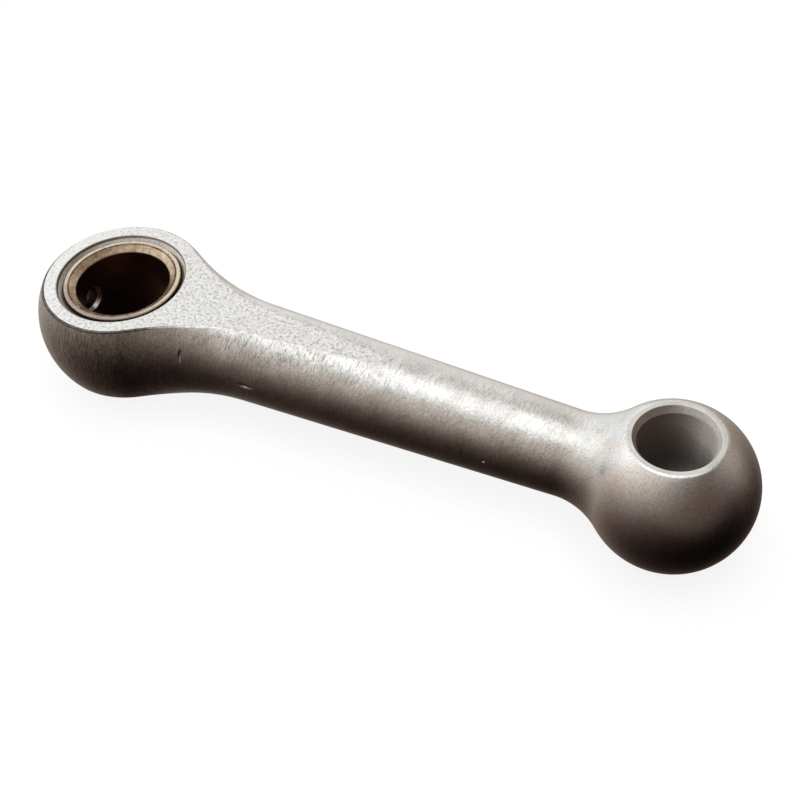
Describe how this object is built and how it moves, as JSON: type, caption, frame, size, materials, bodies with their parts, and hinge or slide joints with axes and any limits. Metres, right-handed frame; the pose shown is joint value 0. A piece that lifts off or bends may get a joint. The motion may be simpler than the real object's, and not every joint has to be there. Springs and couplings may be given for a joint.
{
  "type": "connecting rod",
  "caption": "Turned aluminium connecting rod for a small engine: flat-sided big end with a pressed bronze bush, round tapered shank and ball-shaped small end.",
  "frame": {"origin": "centre of the big-end bore, halfway through its thickness", "axes": "+Z along both bores, +X from the big end to the small end"},
  "size_m": [0.0439, 0.0108, 0.0076],
  "materials": {
    "rod_aluminium": "satin, with turning marks round the shank and a fine blasted grain on the flats",
    "bush_bronze": "machined, slightly tarnished"
  },
  "bodies": {
    "root": {"rod_body": "rod_aluminium", "big_end_bush": "bush_bronze"}
  },
  "joints": []
}
